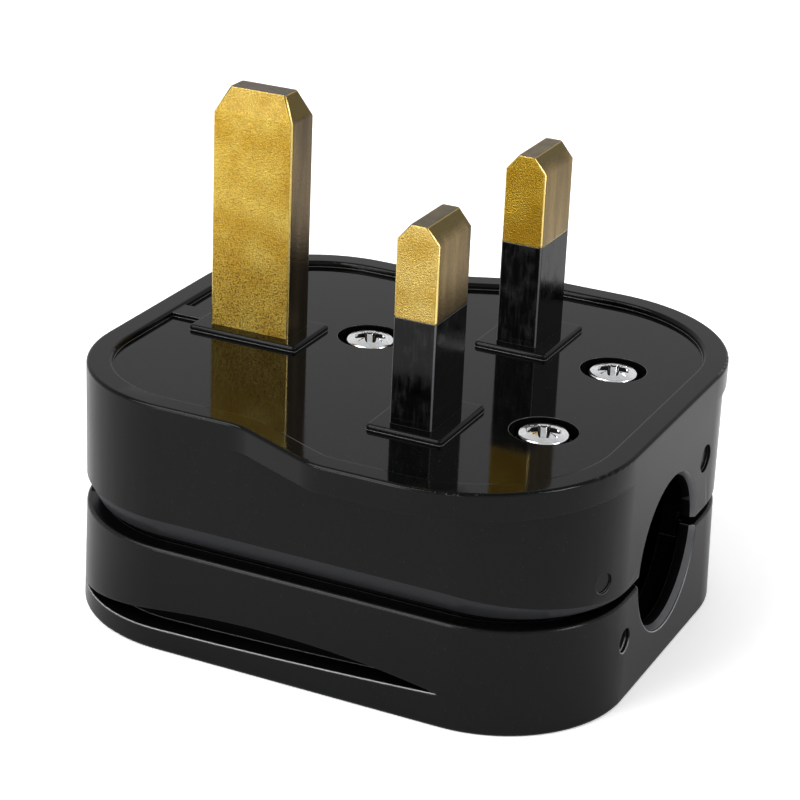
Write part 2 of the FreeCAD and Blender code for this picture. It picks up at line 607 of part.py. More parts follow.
def bent_strip(points, bends, thickness):
    """The closed outline of a strip bent along points in the XZ plane, with the bend radii at its middle."""
    half = thickness / 2
    sides = []
    for sign in (1, -1):
        row = []
        for i in range(len(points)):
            before = (points[i] - points[i - 1]).normalize() if i > 0 else None
            after = (points[i + 1] - points[i]).normalize() if i < len(points) - 1 else None
            along = before if after is None else after
            normal = vec(-along.z, 0, along.x)
            if before is not None and after is not None:
                other = vec(-before.z, 0, before.x)
                mean = (normal + other).normalize()
                normal = mean * (1 / mean.dot(other))
            row.append(points[i] + normal * half * sign)
        sides.append(row)
    radii = []
    for sign in (1, -1):
        row = [0.0]
        for i in range(1, len(points) - 1):
            before = points[i] - points[i - 1]
            after = points[i + 1] - points[i]
            turn = before.z * after.x - before.x * after.z
            row.append(bends[i - 1] + half * sign * (1 if turn > 0 else -1))
        radii.append(row + [0.0])
    return rounded_wire(sides[0] + sides[1][::-1], radii[0] + radii[1][::-1])


def fuse_clip(y):
    """A bronze spring clip: flat base, two arms that hug the cap, and flared lips."""
    left = [(-CLIP_LIP_X, CLIP_LIP_Z), (-CLIP_NECK_X, CLIP_NECK_Z), (-CLIP_SIDE_X, CLIP_SIDE_Z),
            (-CLIP_SIDE_X, CLIP_BASE_RISE)]
    right = [(-x, z) for x, z in reversed(left)]
    points = [vec(LINE_X + x, y - CLIP_LENGTH / 2, FUSE_Z + z) for x, z in left + right]
    arm_bends = [CLIP_NECK_BEND, CLIP_SIDE_BEND, CLIP_BASE_BEND]
    outline = bent_strip(points, arm_bends + arm_bends[::-1], CLIP_THICKNESS)
    clip = Part.Face(outline).extrude(vec(0, CLIP_LENGTH, 0))
    hole = upright_cylinder(LINE_X, y, RIVET_RADIUS, FUSE_Z, PIN_SHOULDER_BOTTOM + CUT_MARGIN)
    return clip.cut(hole)


def clip_rivet(y, z_to):
    """A brass rivet up through the clip's base."""
    head_top = PIN_SHOULDER_BOTTOM - CLIP_THICKNESS
    head = upright_cylinder(LINE_X, y, RIVET_HEAD_RADIUS, head_top - RIVET_HEAD_HEIGHT, head_top)
    return head.fuse(upright_cylinder(LINE_X, y, RIVET_RADIUS, head_top, z_to))


def along_fuse(radius, y_from, y_to):
    return Part.makeCylinder(radius, y_to - y_from, vec(LINE_X, y_from, FUSE_Z), vec(0, 1, 0))


def fuse_barrel():
    """The ceramic tube, reduced at each end where a cap goes on."""
    tube = along_fuse(FUSE_RADIUS, FUSE_START_Y + CAP_LENGTH, FUSE_END_Y - CAP_LENGTH)
    core = along_fuse(FUSE_RADIUS - CAP_WALL, FUSE_START_Y + CAP_WALL, FUSE_END_Y - CAP_WALL)
    bore = along_fuse(FUSE_BORE_RADIUS, FUSE_START_Y, FUSE_END_Y)
    return tube.fuse(core).cut(bore)


def fuse_cap(y_from, y_to, closed_at):
    """A drawn cap: a closed end and a thin wall round the tube."""
    outer = along_fuse(FUSE_RADIUS, y_from, y_to)
    outer = round_edges(outer, CAP_WALL, lies_across(closed_at))
    inner_from = y_from + (CAP_WALL if closed_at == y_from else 0)
    inner_to = y_to - (CAP_WALL if closed_at == y_to else 0)
    return outer.cut(along_fuse(FUSE_RADIUS - CAP_WALL, inner_from, inner_to))


def fuse_wire():
    return along_fuse(FUSE_WIRE_RADIUS, FUSE_START_Y + CAP_WALL, FUSE_END_Y - CAP_WALL)


def cord_grip_bar():
    """The clamp bar under the cord, toothed on top, with a nut pocket under each screw."""
    bar_x = GRIP_SCREW_PITCH + GRIP_BAR_Y + 2 * GRIP_BAR_END
    top = GRIP_BAR_TOP + CUT_MARGIN
    outline = rectangle(0, GRIP_SCREW_Y, bar_x, GRIP_BAR_Y, GRIP_BAR_Y / 2 - GRIP_BAR_FLAT, 0)
    bar = prism(outline, GRIP_BAR_BOTTOM, GRIP_BAR_TOP)
    tooth_length = GRIP_SCREW_PITCH - 2 * (GRIP_POST_RADIUS + GRIP_TOOTH_MARGIN)
    cuts = []
    for i in range(GRIP_TOOTH_COUNT):
        y = GRIP_SCREW_Y + (i - (GRIP_TOOTH_COUNT - 1) / 2) * GRIP_TOOTH_PITCH
        cuts.append(block(0, y, GRIP_BAR_TOP - GRIP_TOOTH, tooth_length, GRIP_TOOTH_PITCH / 2, top))
    pocket_size = NUT_ACROSS_FLATS + 2 * NUT_CLEARANCE
    pocket_top = GRIP_BAR_BOTTOM + NUT_THICKNESS
    for side in (-1, 1):
        x = side * GRIP_SCREW_PITCH / 2
        cuts.append(hexagon(x, GRIP_SCREW_Y, pocket_size, GRIP_BAR_BOTTOM - CUT_MARGIN, pocket_top))
        cuts.append(upright_cylinder(x, GRIP_SCREW_Y, SCREW_SHANK_RADIUS + SCREW_CLEARANCE, 0, top))
    return bar.cut(cuts)


def hexagon(x, y, across_flats, z_from, z_to):
    radius = across_flats / math.sqrt(3)
    points = [vec(x + radius * math.cos(math.radians(60 * i)), y + radius * math.sin(math.radians(60 * i)), 0)
              for i in range(7)]
    return prism(Part.makePolygon(points), z_from, z_to)


def cord_grip_nut(side):
    x = side * GRIP_SCREW_PITCH / 2
    nut = hexagon(x, GRIP_SCREW_Y, NUT_ACROSS_FLATS, GRIP_BAR_BOTTOM, GRIP_BAR_BOTTOM + NUT_THICKNESS)
    return nut.cut(upright_cylinder(x, GRIP_SCREW_Y, SCREW_SHANK_RADIUS + THREAD_CLEARANCE, 0, GRIP_BAR_TOP))


def face_screw(x, y, end_z):
    """A pan-head screw with a cross recess, seated in its counterbore and reaching down to end_z."""
    top = SCREW_SEAT_Z + SCREW_HEAD_HEIGHT
    head = upright_cylinder(x, y, SCREW_HEAD_RADIUS, SCREW_SEAT_Z, top)
    head = round_edges(head, SCREW_HEAD_EDGE, lies_at(top))
    shank = upright_cylinder(x, y, SCREW_SHANK_RADIUS, end_z, SCREW_SEAT_Z)
    bottom = top - SCREW_RECESS_DEPTH
    slots = [block(x, y, bottom, 2 * SCREW_RECESS_RADIUS, SCREW_RECESS_SLOT, top + CUT_MARGIN),
             block(x, y, bottom, SCREW_RECESS_SLOT, 2 * SCREW_RECESS_RADIUS, top + CUT_MARGIN)]
    return head.fuse(shank).cut(slots)


def cover_screw_insert():
    """A brass bush pressed into the cover's post, grooved round its middle."""
    x = COVER_SCREW_X
    y = COVER_SCREW_Y
    bush = upright_cylinder(x, y, INSERT_RADIUS, INSERT_BOTTOM, BOSS_BOTTOM)
    bore = upright_cylinder(x, y, SCREW_SHANK_RADIUS + THREAD_CLEARANCE, 0, BOSS_BOTTOM + CUT_MARGIN)
    middle = INSERT_BOTTOM + INSERT_LENGTH / 2
    ring = upright_cylinder(x, y, INSERT_RADIUS + CUT_MARGIN, middle - INSERT_GROOVE, middle + INSERT_GROOVE)
    ring = ring.cut(upright_cylinder(x, y, INSERT_RADIUS - INSERT_GROOVE, INSERT_BOTTOM, BOSS_BOTTOM))
    return bush.cut([bore, ring])


def cover_screw_retainer():
    top = BOSS_BOTTOM + RETAINER_THICKNESS
    x = COVER_SCREW_X
    y = COVER_SCREW_Y
    hole = upright_cylinder(x, y, SCREW_SHANK_RADIUS + THREAD_CLEARANCE, 0, top + CUT_MARGIN)
    return upright_cylinder(x, y, RETAINER_RADIUS, BOSS_BOTTOM, top).cut(hole)


def all_pieces():
    pin_terminal_bottom = PIN_SHOULDER_BOTTOM - TERMINAL_HEIGHT
    tongue_top = PIN_SHOULDER_BOTTOM + TONGUE_THICKNESS
    grip_x = GRIP_SCREW_PITCH / 2
    grip_screw_end = GRIP_BAR_BOTTOM + GRIP_SCREW_END
    return {
        "pin_base": pin_base(),
        "rear_cover": rear_cover(),
        "earth_pin": earth_pin(),
        "neutral_pin": neutral_pin(),
        "line_pin": line_pin(),
        "neutral_pin_sleeve": pin_sleeve(NEUTRAL_X),
        "line_pin_sleeve": pin_sleeve(LINE_X),
        "earth_terminal_screw": terminal_screw(0, EARTH_Y, pin_terminal_bottom),
        "neutral_terminal_screw": terminal_screw(NEUTRAL_X, LINE_ROW_Y, pin_terminal_bottom),
        "line_terminal": line_terminal(),
        "line_terminal_screw": terminal_screw(
            LINE_TERMINAL_CENTRE_X, LINE_TERMINAL_CENTRE_Y, LINE_TERMINAL_BOTTOM),
        "fuse_clip_pin_side": fuse_clip(LINE_ROW_Y),
        "fuse_clip_terminal_side": fuse_clip(FAR_CLIP_Y),
        "fuse_clip_rivet_pin_side": clip_rivet(LINE_ROW_Y, PIN_SHOULDER_BOTTOM + RIVET_GRIP),
        "fuse_clip_rivet_terminal_side": clip_rivet(FAR_CLIP_Y, tongue_top),
        "fuse_barrel": fuse_barrel(),
        "fuse_cap_pin_side": fuse_cap(FUSE_START_Y, FUSE_START_Y + CAP_LENGTH, FUSE_START_Y),
        "fuse_cap_terminal_side": fuse_cap(FUSE_END_Y - CAP_LENGTH, FUSE_END_Y, FUSE_END_Y),
        "fuse_wire": fuse_wire(),
        "cord_grip_bar": cord_grip_bar(),
        "cord_grip_nut_line_side": cord_grip_nut(-1),
        "cord_grip_nut_neutral_side": cord_grip_nut(1),
        "cord_grip_screw_line_side": face_screw(-grip_x, GRIP_SCREW_Y, grip_screw_end),
        "cord_grip_screw_neutral_side": face_screw(grip_x, GRIP_SCREW_Y, grip_screw_end),
        "cover_screw": face_screw(COVER_SCREW_X, COVER_SCREW_Y, INSERT_BOTTOM),
        "cover_screw_insert": cover_screw_insert(),
        "cover_screw_retainer": cover_screw_retainer(),
    }


os.makedirs("parts", exist_ok=True)
for name, shape in all_pieces().items():
    shape.exportStep("parts/" + name + ".step")
    print(name, "solids", len(shape.Solids), "valid", shape.isValid(), "volume", round(shape.Volume, 2))
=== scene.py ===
import math

import bmesh
import bpy
import numpy as np
from mathutils import Matrix, Vector


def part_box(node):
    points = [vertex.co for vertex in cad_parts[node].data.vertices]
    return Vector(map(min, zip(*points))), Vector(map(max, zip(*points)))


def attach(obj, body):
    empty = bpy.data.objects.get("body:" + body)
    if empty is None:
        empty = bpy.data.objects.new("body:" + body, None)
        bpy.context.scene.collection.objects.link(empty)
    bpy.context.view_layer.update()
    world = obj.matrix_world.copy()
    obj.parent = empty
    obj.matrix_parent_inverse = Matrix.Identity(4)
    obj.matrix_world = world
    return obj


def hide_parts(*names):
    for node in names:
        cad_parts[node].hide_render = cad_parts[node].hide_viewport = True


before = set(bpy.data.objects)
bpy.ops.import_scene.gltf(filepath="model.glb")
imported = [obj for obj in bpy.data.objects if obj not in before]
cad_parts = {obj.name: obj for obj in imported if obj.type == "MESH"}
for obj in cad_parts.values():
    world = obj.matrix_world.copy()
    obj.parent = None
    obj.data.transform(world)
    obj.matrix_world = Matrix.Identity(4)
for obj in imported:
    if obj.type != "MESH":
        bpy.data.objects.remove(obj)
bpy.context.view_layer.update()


# Base: the upper moulding, pressed in one from black thermoset, with the flange, the sunk pin face and its pads.
# The mould is polished, most of all under the face, so the face mirrors the pins and the wall is a little softer.
# The chamfer round the foot is painted a paler grey as painted light, the lip of the cord entry is painted pale
# as a painted highlight, and the inside is left dull and painted darker as painted shade.
MM = 0.001
FLOW_SIZE = 9.0 * MM
GRIT_SIZE = 0.25 * MM  # real grit and dust are finer, and are drawn as coarse as they need to be to show
DUST_SIZE = 0.2 * MM
GRIT_HEIGHT = 0.02 * MM
GRIT_STRENGTH = 0.05
DUST_GREY = "#6d6e70"
# A paler grey for edges that face up: a painted highlight.
EDGE_HIGHLIGHT_GREY = "#77787a"
THERMOSET_IOR = 1.5
EDGE_ROUNDING = 0.14 * MM
EDGE_SAMPLES = 6
MOST_OF_A_NOISE = {"From Min": 0.3, "From Max": 0.7}
DUST_PEAKS = {"From Min": 0.66, "From Max": 0.78}
TURNED_AWAY = {"From Min": 0.99, "From Max": 0.85}
TURNED_UP = {"From Min": 0.1, "From Max": 0.4}
SMOOTH_LIMIT = math.radians(40.0)
MERGE_DISTANCE = 0.0005 * MM
CORNER_RADIUS = 12.0 * MM
POLISHED_REACH = 0.8 * MM
INSIDE_HALF_WIDTH = 14.0 * MM
ROOF_LEVEL = 19.8 * MM
ENTRY_LEVEL = 10.2 * MM
ENTRY_REACH = 7.3 * MM
LIP_TILT = (0.3, 0.95)
FACE_REACH = 1.5 * MM
FACE_TILT = 0.5
CHAMFER_TOP = 12.6 * MM
CHAMFER_TILT = (-0.7, -0.3)


def linear(hex_colour):
    """The linear colour, with alpha, of an sRGB hex value: a straight run near black, then a power of 2.4."""
    channels = [int(hex_colour[i:i + 2], 16) / 255 for i in (1, 3, 5)]
    return [c / 12.92 if c <= 0.04045 else ((c + 0.055) / 1.055) ** 2.4 for c in channels] + [1.0]


def add(tree, kind, inputs, **settings):
    """Adds a node with its settings. An input is a plain value, or a link given as (node, output name)."""
    node = tree.nodes.new(kind)
    for name, value in settings.items():
        setattr(node, name, value)
    for name, value in inputs.items():
        if isinstance(value, tuple) and isinstance(value[0], bpy.types.Node):
            tree.links.new(value[0].outputs[value[1]], node.inputs[name])
        else:
            node.inputs[name].default_value = value
    return node


def new_material(name):
    """A material with an empty node tree."""
    material = bpy.data.materials.new(name)
    material.use_nodes = True
    material.node_tree.nodes.clear()
    return material


def finish(tree, shader):
    """Ends a material's tree in its output."""
    add(tree, "ShaderNodeOutputMaterial", {"Surface": (shader, "BSDF")})


def rounded_edges(tree, radius):
    """A normal rounded at the edges, and an edge mask: none on a flat, and all where that normal has turned."""
    rounded = add(tree, "ShaderNodeBevel", {"Radius": radius}, samples=EDGE_SAMPLES)
    surface = add(tree, "ShaderNodeNewGeometry", {})
    turned = add(tree, "ShaderNodeVectorMath", {0: (rounded, "Normal"), 1: (surface, "Normal")},
                 operation="DOT_PRODUCT")
    on_edge = add(tree, "ShaderNodeMapRange", {"Value": (turned, "Value"), **TURNED_AWAY})
    return rounded, on_edge


def black_moulding(name, dark, light, roughness, dust, specular, edge_highlight=EDGE_HIGHLIGHT_GREY, edge_rounding=EDGE_ROUNDING):
    """Pressed thermoset: flow patches vary its colour and gloss, fine grit roughens it, and dust specks it.

    Its edges are rounded by the width given, and those that face up get a paler grey: a painted highlight.
    """
    material = new_material(name)
    tree = material.node_tree
    place = add(tree, "ShaderNodeTexCoord", {})
    flow = add(tree, "ShaderNodeTexNoise", {"Vector": (place, "Object"), "Scale": 1 / FLOW_SIZE, "Detail": 3.0})
    grit = add(tree, "ShaderNodeTexNoise", {"Vector": (place, "Object"), "Scale": 1 / GRIT_SIZE, "Detail": 2.0})
    speck = add(tree, "ShaderNodeTexNoise", {"Vector": (place, "Object"), "Scale": 1 / DUST_SIZE, "Detail": 2.0})
    body = add(tree, "ShaderNodeMix", {"Factor": (flow, "Fac"), "A": linear(dark), "B": linear(light)},
               data_type="RGBA")
    dusty = add(tree, "ShaderNodeMapRange", {"Value": (speck, "Fac"), **DUST_PEAKS, "To Max": dust})
    dusted = add(tree, "ShaderNodeMix", {"Factor": (dusty, "Result"), "A": (body, "Result"), "B": linear(DUST_GREY)},
                 data_type="RGBA")
    rounded, on_edge = rounded_edges(tree, edge_rounding)
    facing = add(tree, "ShaderNodeSeparateXYZ", {"Vector": (rounded, "Normal")})
    upturned = add(tree, "ShaderNodeMapRange", {"Value": (facing, "Z"), **TURNED_UP})
    # Edges that face up get the paler grey: a painted highlight.
    edge_highlight_mask = add(tree, "ShaderNodeMath", {0: (on_edge, "Result"), 1: (upturned, "Result")}, operation="MULTIPLY")
    colour = add(tree, "ShaderNodeMix", {"Factor": (edge_highlight_mask, "Value"), "A": (dusted, "Result"), "B": linear(edge_highlight)},
                 data_type="RGBA")
    gloss = add(tree, "ShaderNodeMapRange", {"Value": (flow, "Fac"), **MOST_OF_A_NOISE,
                                             "To Min": roughness[0], "To Max": roughness[1]})
    bump = add(tree, "ShaderNodeBump", {"Height": (grit, "Fac"), "Strength": GRIT_STRENGTH, "Distance": GRIT_HEIGHT,
                                        "Normal": (rounded, "Normal")})
    shader = add(tree, "ShaderNodeBsdfPrincipled", {"Base Color": (colour, "Result"), "Roughness": (gloss, "Result"),
                                                    "Normal": (bump, "Normal"), "IOR": THERMOSET_IOR,
                                                    "Specular IOR Level": specular})
    finish(tree, shader)
    return material


def smooth_copy(node_name, piece_name):
    """A copy of a CAD node with its loose triangles joined, smooth but for its sharp edges. It stands for the node."""
    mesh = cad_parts[node_name].data.copy()
    mesh.name = piece_name
    joined = bmesh.new()
    joined.from_mesh(mesh)
    bmesh.ops.remove_doubles(joined, verts=joined.verts, dist=MERGE_DISTANCE)
    for face in joined.faces:
        face.smooth = True
    for edge in joined.edges:
        edge.smooth = edge.is_manifold and edge.calc_face_angle(0.0) < SMOOTH_LIMIT
    joined.to_mesh(mesh)
    joined.free()
    mesh.materials.clear()
    piece = bpy.data.objects.new(piece_name, mesh)
    bpy.context.collection.objects.link(piece)
    weighted = piece.modifiers.new("flat faces stay flat", "WEIGHTED_NORMAL")
    weighted.keep_sharp = True
    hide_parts(node_name)
    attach(piece, "root")
    return piece


def polygon_values(mesh, name):
    """One row of three numbers for each polygon: its normal or its centre."""
    values = np.empty(3 * len(mesh.polygons))
    mesh.polygons.foreach_get(name, values)
    return values.reshape(-1, 3)


def dress(mesh, plain, special):
    """Gives each polygon the first of the special finishes whose polygons it is among, or else the plain one."""
    for material in (plain, *special):
        mesh.materials.append(material)
    choice = np.select(list(special.values()), list(range(1, len(special) + 1)), 0)
    mesh.polygons.foreach_set("material_index", choice.astype(np.int32))


def depth_below_outline(centres):
    """How deep points lie below the body's rounded outline: its half size less their place, rounded at the corners."""
    half = np.array(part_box("rear_cover")[1][:2])
    beyond = np.abs(centres[:, :2]) - half + CORNER_RADIUS
    return CORNER_RADIUS - np.hypot(*np.maximum(beyond, 0).T) - np.minimum(beyond.max(axis=1), 0)


def is_inside(centres):
    """Whether polygons lie behind the polished skin: their depth below the body's outline tells."""
    within = (np.abs(centres[:, 0]) < INSIDE_HALF_WIDTH) & (centres[:, 2] < ROOF_LEVEL)
    return within & (depth_below_outline(centres) > POLISHED_REACH)


def is_lip(mesh):
    """Whether polygons belong to the taper round the cord entry: near its end and its axis, and turned half outward."""
    centres = polygon_values(mesh, "center")
    outward = -polygon_values(mesh, "normal")[:, 1]
    from_axis = np.hypot(centres[:, 0], centres[:, 2] - ENTRY_LEVEL)
    near_end = centres[:, 1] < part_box("rear_cover")[0][1] + POLISHED_REACH
    return near_end & (from_axis < ENTRY_REACH) & (outward > LIP_TILT[0]) & (outward < LIP_TILT[1])


# Thermoset is dense black and takes the mould's gloss: the wall is glossy, and the face is a dark mirror with dust.
# The chamfer is rougher and painted a paler grey, a painted light; the lip is painted pale, a painted highlight;
# the inside and the scoops are rough and painted darker, a painted shade.
thermoset_wall = black_moulding("pressed_thermoset_wall", "#0a0b0c", "#101113", (0.17, 0.24), 0.12, 0.35)
thermoset_face = black_moulding("polished_thermoset_face", "#060707", "#0a0b0b", (0.04, 0.09), 0.35, 0.27)
# Near black on the inside and the scoops, on a rough finish: a painted shade.
inside_painted_shade = black_moulding("rough_thermoset_inside_painted_shade", "#040404", "#060606", (0.5, 0.65), 0.02, 0.1)
# A paler grey on the down-turned chamfer faces: painted light.
chamfer_painted_light = black_moulding("thermoset_chamfer_painted_light", "#2a2b2d", "#333436", (0.4, 0.5), 0.02, 0.35)
# A pale grey on the cord entry's lip: a painted highlight.
lip_painted_highlight = black_moulding("thermoset_lip_painted_highlight", "#606163", "#7a7b7d", (0.25, 0.35), 0.02, 0.5)
base = smooth_copy("pin_base", "base_moulding")
centres = polygon_values(base.data, "center")
tilt = polygon_values(base.data, "normal")[:, 2]
# Down-turned faces low on the base get the paler grey: painted light.
on_chamfer = (tilt > CHAMFER_TILT[0]) & (tilt < CHAMFER_TILT[1]) & (centres[:, 2] < CHAMFER_TOP)
on_face = (tilt > FACE_TILT) & (centres[:, 2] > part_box("pin_base")[1][2] - FACE_REACH)
dress(base.data, thermoset_wall, {chamfer_painted_light: on_chamfer, inside_painted_shade: is_inside(centres),
                                  lip_painted_highlight: is_lip(base.data), thermoset_face: on_face})


# Cover: the lower moulding, pressed from the same black thermoset, with a finger scoop along each side. Its ledge
# takes the base's spigot, and one screw into the post that stands on its floor holds it to the base.
# The cover's edges get a wider band of a paler grey: a painted highlight.
COVER_EDGE_ROUNDING = 0.26 * MM
COVER_EDGE_HIGHLIGHT_GREY = "#c2c3c5"
COVER_FLOOR = 2.1 * MM
SCOOP_DEPTH = 0.55 * MM
SCOOP_BOTTOM = 2.0 * MM
SCOOP_TOP = 4.6 * MM
SCOOP_TILT = 0.5

thermoset_cover = black_moulding("pressed_thermoset_cover", "#0a0b0c", "#101113", (0.17, 0.24), 0.12, 0.35,
                                 COVER_EDGE_HIGHLIGHT_GREY, COVER_EDGE_ROUNDING)
cover = smooth_copy("rear_cover", "cover_moulding")
centres = polygon_values(cover.data, "center")
tilt = polygon_values(cover.data, "normal")[:, 2]
lip = is_lip(cover.data)
behind_skin = is_inside(centres) & (centres[:, 2] > COVER_FLOOR)
beside_scoop = (centres[:, 2] > SCOOP_BOTTOM) & (centres[:, 2] < SCOOP_TOP) & (tilt < SCOOP_TILT)
# The scoop's sunk wall takes the inside finish: a darker painted shade.
in_scoop = beside_scoop & (depth_below_outline(centres) > SCOOP_DEPTH) & ~lip
dress(cover.data, thermoset_cover, {inside_painted_shade: behind_skin | in_scoop, lip_painted_highlight: lip})


# Pins: three bars of drawn brass, pushed up through the base from inside as far as their shoulders. Barrelling has
# pitted them finely, and their tips are milled to a taper. The faces across the plug get a bright gold as painted
# light, the others a brown painted shade, the tops a darker painted shade and the taper facets a painted mid gold.
# Every edge is worn bright, with a painted highlight, and the brass is darker towards the foot.
PIT_SIZE = 0.13 * MM  # real pits are finer, and are drawn as coarse as they need to be to show
PIT_HEIGHT = 0.13 * MM
PIT_RAGGEDNESS = 0.65
CLOUD_SIZE = 3.0 * MM
STREAK_SIZE = 1.5 * MM
STREAK_STRETCH = 0.12
BRASS_EDGE_WEAR = 0.2 * MM
TAPER_PAINTED_GOLD = "#776a42"
PIT_BROWN = "#5c4a1c"
EDGE_WEAR_AND_HIGHLIGHT_GOLD = "#f7e09a"
ROUND_ARRIS = {"From Min": 0.06, "From Max": 0.22}
CLOUDED = {"From Min": 0.35, "From Max": 0.65}
STREAK_SHADE = {**MOST_OF_A_NOISE, "To Min": 0.6, "To Max": 1.4}
TOP_PAINTED_SHADE = {"From Min": 0.3, "From Max": 0.9, "To Min": 1.0, "To Max": 0.6}
LEANS_UP = {"From Min": 0.2, "From Max": 0.45}
SHORT_OF_TOP = {"From Min": 0.85, "From Max": 0.95, "To Min": 1.0, "To Max": 0.0}
ALONG_X_BAND = {"From Min": 0.8, "From Max": 0.96}
DARKER_TOWARDS_FOOT = {"From Min": 33.0 * MM, "From Max": 28.0 * MM, "To Min": 0.3, "To Max": 0.75}
PITTED = {"From Min": 0.48, "From Max": 0.64}
GLOSS_OF_PITS = {"From Min": 0.35, "From Max": 0.7}
BRIGHTEST_GLOSS = {"To Min": 0.14, "To Max": 0.32}
DULLEST_GLOSS = {"To Min": 0.26, "To Max": 0.5}
PIT_RELIEF = {"To Min": 0.2, "To Max": 1.0}


def upright_edges(tree, normal):
    """How far a point lies on a rounded upright edge: the square of its normal's X times Y, which is 0 on a flat."""
    product = add(tree, "ShaderNodeMath", {0: (normal, "X"), 1: (normal, "Y")}, operation="MULTIPLY")
    square = add(tree, "ShaderNodeMath", {0: (product, "Value"), 1: (product, "Value")}, operation="MULTIPLY")
    return add(tree, "ShaderNodeMapRange", {"Value": (square, "Value"), **ROUND_ARRIS})


def drawn_brass(name, side_painted_shade, low_gold, high_gold):
    """Brass whose faces along X get a bright gold as painted light, and whose others get a painted shade.

    The square of the normal's X tells. Clouds vary the gold, and upright streaks the painted shade. Pits stain and
    roughen both, and the brass is darker towards the foot.
    """
    material = new_material(name)
    tree = material.node_tree
    place = add(tree, "ShaderNodeTexCoord", {})
    normal = add(tree, "ShaderNodeSeparateXYZ", {"Vector": (place, "Normal")})
    height = add(tree, "ShaderNodeSeparateXYZ", {"Vector": (place, "Object")})
    tall = add(tree, "ShaderNodeMapping", {"Vector": (place, "Object"), "Scale": (1.0, 1.0, STREAK_STRETCH)})
    pits = add(tree, "ShaderNodeTexNoise", {"Vector": (place, "Object"), "Scale": 1 / PIT_SIZE, "Detail": 3.0,
                                            "Roughness": PIT_RAGGEDNESS})
    cloud = add(tree, "ShaderNodeTexNoise", {"Vector": (place, "Object"), "Scale": 1 / CLOUD_SIZE, "Detail": 5.0})
    streaks = add(tree, "ShaderNodeTexNoise", {"Vector": (tall, "Vector"), "Scale": 1 / STREAK_SIZE, "Detail": 5.0})

    patch = add(tree, "ShaderNodeMapRange", {"Value": (cloud, "Fac"), **CLOUDED})
    painted_lit_gold = add(tree, "ShaderNodeMix", {"Factor": (patch, "Result"), "A": linear(low_gold), "B": linear(high_gold)},
                data_type="RGBA")

    shade = add(tree, "ShaderNodeMapRange", {"Value": (streaks, "Fac"), **STREAK_SHADE})
    # Faces turned up are darkened: a painted shade.
    top_shade = add(tree, "ShaderNodeMapRange", {"Value": (normal, "Z"), **TOP_PAINTED_SHADE})
    depth = add(tree, "ShaderNodeMath", {0: (shade, "Result"), 1: (top_shade, "Result")}, operation="MULTIPLY")
    shaded_sides = add(tree, "ShaderNodeVectorMath", {"Vector": linear(side_painted_shade)[:3], "Scale": (depth, "Value")},
               operation="SCALE")
    # Taper facets get a mid gold in place of the painted shade: painted light.
    leaning = add(tree, "ShaderNodeMapRange", {"Value": (normal, "Z"), **LEANS_UP})
    not_flat = add(tree, "ShaderNodeMapRange", {"Value": (normal, "Z"), **SHORT_OF_TOP})
    taper = add(tree, "ShaderNodeMath", {0: (leaning, "Result"), 1: (not_flat, "Result")}, operation="MULTIPLY")
    darkened = add(tree, "ShaderNodeMix", {"Factor": (taper, "Value"), "A": (shaded_sides, "Vector"),
                                           "B": linear(TAPER_PAINTED_GOLD)}, data_type="RGBA")

    # Faces along X get the bright gold as painted light, and the others keep the painted shade.
    across = add(tree, "ShaderNodeMath", {0: (normal, "X"), 1: (normal, "X")}, operation="MULTIPLY")
    along_x = add(tree, "ShaderNodeMapRange", {"Value": (across, "Value"), **ALONG_X_BAND})
    face = add(tree, "ShaderNodeMix", {"Factor": (along_x, "Result"), "A": (darkened, "Result"),
                                       "B": (painted_lit_gold, "Result")}, data_type="RGBA")
    # The pits' brown grows towards the foot, so the brass is darker there.
    darker_foot = add(tree, "ShaderNodeMapRange", {"Value": (height, "Z"), **DARKER_TOWARDS_FOOT})
    pitted = add(tree, "ShaderNodeMapRange", {"Value": (pits, "Fac"), **PITTED, "To Max": (darker_foot, "Result")})
    stained = add(tree, "ShaderNodeMix", {"Factor": (pitted, "Result"), "A": (face, "Result"),
                                          "B": linear(PIT_BROWN)}, data_type="RGBA")
    # Edges get a pale gold: worn brass, with a painted highlight on top.
    rounded, on_edge = rounded_edges(tree, BRASS_EDGE_WEAR)
    arris = upright_edges(tree, normal)
    either = add(tree, "ShaderNodeMath", {0: (on_edge, "Result"), 1: (arris, "Result")}, operation="MAXIMUM")
    colour = add(tree, "ShaderNodeMix", {"Factor": (either, "Value"), "A": (stained, "Result"),
                                         "B": linear(EDGE_WEAR_AND_HIGHLIGHT_GOLD)}, data_type="RGBA")

    brightest = add(tree, "ShaderNodeMapRange", {"Value": (along_x, "Result"), **BRIGHTEST_GLOSS})
    dullest = add(tree, "ShaderNodeMapRange", {"Value": (along_x, "Result"), **DULLEST_GLOSS})
    gloss = add(tree, "ShaderNodeMapRange", {"Value": (pits, "Fac"), **GLOSS_OF_PITS,
                                             "To Min": (brightest, "Result"), "To Max": (dullest, "Result")})
    relief = add(tree, "ShaderNodeMapRange", {"Value": (along_x, "Result"), **PIT_RELIEF})
    bump = add(tree, "ShaderNodeBump", {"Height": (pits, "Fac"), "Strength": (relief, "Result"),
                                        "Distance": PIT_HEIGHT, "Normal": (rounded, "Normal")})
    shader = add(tree, "ShaderNodeBsdfPrincipled", {"Base Color": (colour, "Result"), "Roughness": (gloss, "Result"),
                                                    "Normal": (bump, "Normal"), "Metallic": 1.0})
    finish(tree, shader)
    return material


# Each row: the pin, its brown painted shade, and its painted bright gold from low to high.
for node_name, side_painted_shade, low_gold, high_gold in (("earth_pin", "#776850", "#cfae53", "#e1c871"),
                                                ("neutral_pin", "#8d7950", "#bf9d3a", "#d2b34e"),
                                                ("line_pin", "#887652", "#d2b464", "#e4cd86")):
    pin = smooth_copy(node_name, node_name + "_bar")
    pin.data.materials.append(drawn_brass("drawn_brass_of_" + node_name, side_painted_shade, low_gold, high_gold))


